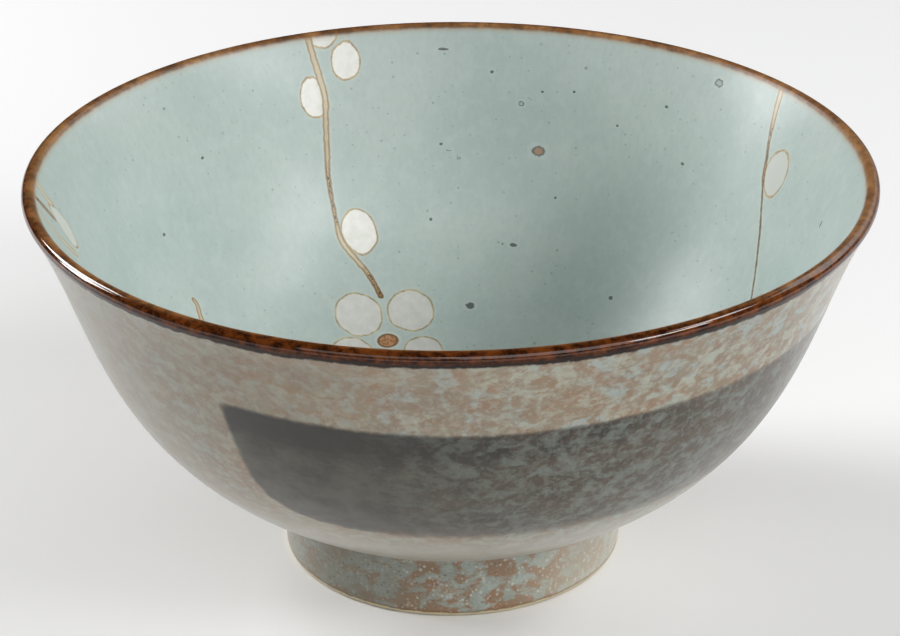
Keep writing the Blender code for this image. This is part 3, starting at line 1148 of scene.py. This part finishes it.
# %% the lip's brown, the clay edge at the foot, and the outside's gloss and skin
lip_brown, lip_mask, lip_rough = rim_glaze(bench, "Color", "Mask", "Roughness")
coat = bench.mix(lip_mask, coat, lip_brown)
ragged_height = bench.plus(height, bench.spread(bench.noise(place, 0.5, 3.0), -0.3, 0.3))
outer_side = bench.fade(bench.from_axis(place), FOOT_RADIUS - 3.0, FOOT_RADIUS - 2.0)
rust = bench.times(bench.fade(ragged_height, 1.5, 1.0), outer_side)
coat = bench.lay(rust, 0.6, coat, srgb(120, 86, 58))
clay_edge = bench.times(bench.fade(ragged_height, 0.95, 0.7), outer_side)
coat = bench.mix(clay_edge, coat, srgb(196, 184, 150))
bench.feed(shader.inputs["Base Color"], coat)
gloss = bench.spread(bench.noise(place, 0.3, 2.0), 0.26, 0.38)
gloss = bench.plus(gloss, bench.times(clay_edge, 0.35))
bench.feed(shader.inputs["Roughness"], bench.between(lip_mask, gloss, lip_rough))
bench.feed(shader.inputs["Coat Weight"], bench.spread(lip_mask, WALL_COAT, 0.0))
wall_skin = skin(bench, place, wave=4.0, height=0.03, grain=0.006)
raise_skin(bench, shader, bench.plus(wall_skin, bench.times(flecks, 0.006)))
print("finished the outside")

# %% [markdown]
# ## The bare clay under the foot
#
# The ring that the bowl stands on was wiped clean of glaze before firing. It shows the buff clay
# itself, dry and sandy. Round its outer edge it is painted dark, as a painted contact shadow where it
# meets the table.

# %% the bare clay
clay, bench, shader = new_finish("bare_clay")
place = bench.place_mm()
stain = clouds(bench, place, 7.0, 0.45, 0.12)
body = bench.lay(stain, 0.5, srgb(204, 188, 158), srgb(178, 154, 122))
body = bench.lay(specks(bench, place, 1.0, 0.22, 0.5), 0.5, body, srgb(116, 90, 66))
# painted contact shadow: the clay is darkened round its outer edge, where it meets the table
uneven_radius = bench.plus(bench.from_axis(place), bench.spread(stain, -0.2, 0.2))
contact_shadow = bench.fade(uneven_radius, FOOT_RADIUS - 0.8, FOOT_RADIUS - 0.4)
body = bench.lay(contact_shadow, 0.75, body, srgb(58, 50, 42))
bench.feed(shader.inputs["Base Color"], body)
bench.feed(shader.inputs["Roughness"], bench.spread(bench.noise(place, 0.6, 3.0), 0.72, 0.88))
raise_skin(bench, shader, bench.times(bench.noise(place, 3.0, 4.0, 0.7), 0.05))
print("finished the bare clay")

# %% [markdown]
# ## The lip's crest
#
# The top of the lip is all brown glaze, and it is the shiniest part of the bowl, because it melted
# into a smooth round bead. It mirrors the panels of light as thin bright lines. A finish of its own
# gives it that stronger mirror without making the wall below it glassy.

# %% the crest of the lip
crest, bench, shader = new_finish("lip_glaze")
brown, rough = rim_glaze(bench, "Color", "Roughness")
bench.feed(shader.inputs["Base Color"], brown)
bench.feed(shader.inputs["Roughness"], rough)
print("finished the lip")

# %% dress the bowl and hand it to the frame
for material in (lining, outside, clay, crest):
    bowl_mesh.materials.append(material)
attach(bowl, "root")
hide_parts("bowl")
print("the bowl stands for the packed node")

# %% [markdown]
# ## The studio
#
# The bowl stands on a white table that runs out of sight. Seven panels of light stand round it. The
# two at the left and the two at the right are small and bright: they draw the thin highlights on the
# lip and the sheen in the lining, because a shiny wall shows a panel only where its mirrored view
# meets one. The other three are large and dim, and they soften the shadows. All of them stand low,
# so their light reaches under the belly. One large lamp on each side would be simpler, but it would
# spread the sheen far down the wall.

# %% the table
TABLE_SIZE = 4.0
table_mesh = bpy.data.meshes.new("table")
half = TABLE_SIZE / 2
table_mesh.from_pydata(
    [(-half, -half, 0), (half, -half, 0), (half, half, 0), (-half, half, 0)], [], [(0, 1, 2, 3)]
)
table = bpy.data.objects.new("table", table_mesh)
bpy.context.scene.collection.objects.link(table)
table_white = bpy.data.materials.new("table_white")
table_white.use_nodes = True
table_shader = table_white.node_tree.nodes["Principled BSDF"]
table_shader.inputs["Base Color"].default_value = srgb(248, 248, 248)
table_shader.inputs["Roughness"].default_value = 0.55
table_mesh.materials.append(table_white)
print(f"the table is {TABLE_SIZE:.0f} m wide")

# %% the room's light
ROOM_SEEN, ROOM_SHED = 0.92, 0.03
room = bpy.data.worlds.new("white_room")
room.use_nodes = True
bench = Bench(room.node_tree)
background = room.node_tree.nodes["Background"]
background.inputs["Color"].default_value = srgb(248, 250, 252)
seen = bench.add("LightPath", {}, "Is Camera Ray")
bench.feed(background.inputs["Strength"], bench.between(seen, ROOM_SHED, ROOM_SEEN))
bpy.context.scene.world = room
bpy.context.scene.view_settings.view_transform = "Standard"
print("the room looks bright behind the bowl and sheds almost no light")

# %% the panels of light: bearing, elevation, width, height, glow
PANELS = {
    "left_back": (145, 33, 0.24, 0.40, 15.4),
    "left": (162, 22, 0.22, 0.38, 17.2),
    "right_front": (328, 30, 0.34, 0.16, 15.5),
    "right": (351, 43, 0.32, 0.20, 10.0),
    "right_back": (38, 30, 0.80, 0.50, 2.2),
    "front": (297, 32, 0.90, 0.60, 2.1),
    "front_left": (250, 30, 0.60, 0.45, 1.2),
}
PANEL_DISTANCE = 1.0
AIM = Vector((0.0, 0.0, 0.04))


def softbox(name, bearing, elevation, distance, width, height, glow):
    """A rectangular lamp that faces the bowl. Angles in degrees, lengths in metres."""
    turn, rise = math.radians(bearing), math.radians(elevation)
    way = Vector((math.cos(turn) * math.cos(rise), math.sin(turn) * math.cos(rise), math.sin(rise)))
    lamp = bpy.data.lights.new(name, "AREA")
    lamp.shape = "RECTANGLE"
    lamp.size, lamp.size_y = width, height
    lamp.energy = glow * math.pi * width * height
    box = bpy.data.objects.new(name, lamp)
    box.location = AIM + way * distance
    box.rotation_euler = (-way).to_track_quat("-Z", "Y").to_euler()
    bpy.context.scene.collection.objects.link(box)


for name, (bearing, elevation, width, height, glow) in PANELS.items():
    softbox("panel_" + name, bearing, elevation, PANEL_DISTANCE, width, height, glow)
print(f"{len(PANELS)} panels of light")

# %% [markdown]
# ## The camera
#
# It looks down at the bowl from the near side. Its place and its focal length were fitted to the
# ellipses of the lip and the foot, which is why the numbers aren't round.

# %% the camera
CAMERA_PLACE = Vector((-0.000238, -0.452069, 0.262510))
CAMERA_AIM = Vector((-0.000238, 0.0, 0.043992))
PHOTO_WIDTH = 900
FOCAL_PIXELS = 2778.65
CAMERA_ROLL = math.radians(-0.404)

lens = bpy.data.cameras.new("camera")
lens.sensor_width = 36.0
lens.lens = lens.sensor_width * FOCAL_PIXELS / PHOTO_WIDTH
camera = bpy.data.objects.new("camera", lens)
looking = (CAMERA_AIM - CAMERA_PLACE).to_track_quat("-Z", "Y").to_matrix().to_4x4()
camera.matrix_world = Matrix.Translation(CAMERA_PLACE) @ looking @ Matrix.Rotation(CAMERA_ROLL, 4, "Z")
bpy.context.scene.collection.objects.link(camera)
bpy.context.scene.camera = camera
print(f"the lens is {lens.lens:.1f} mm long")
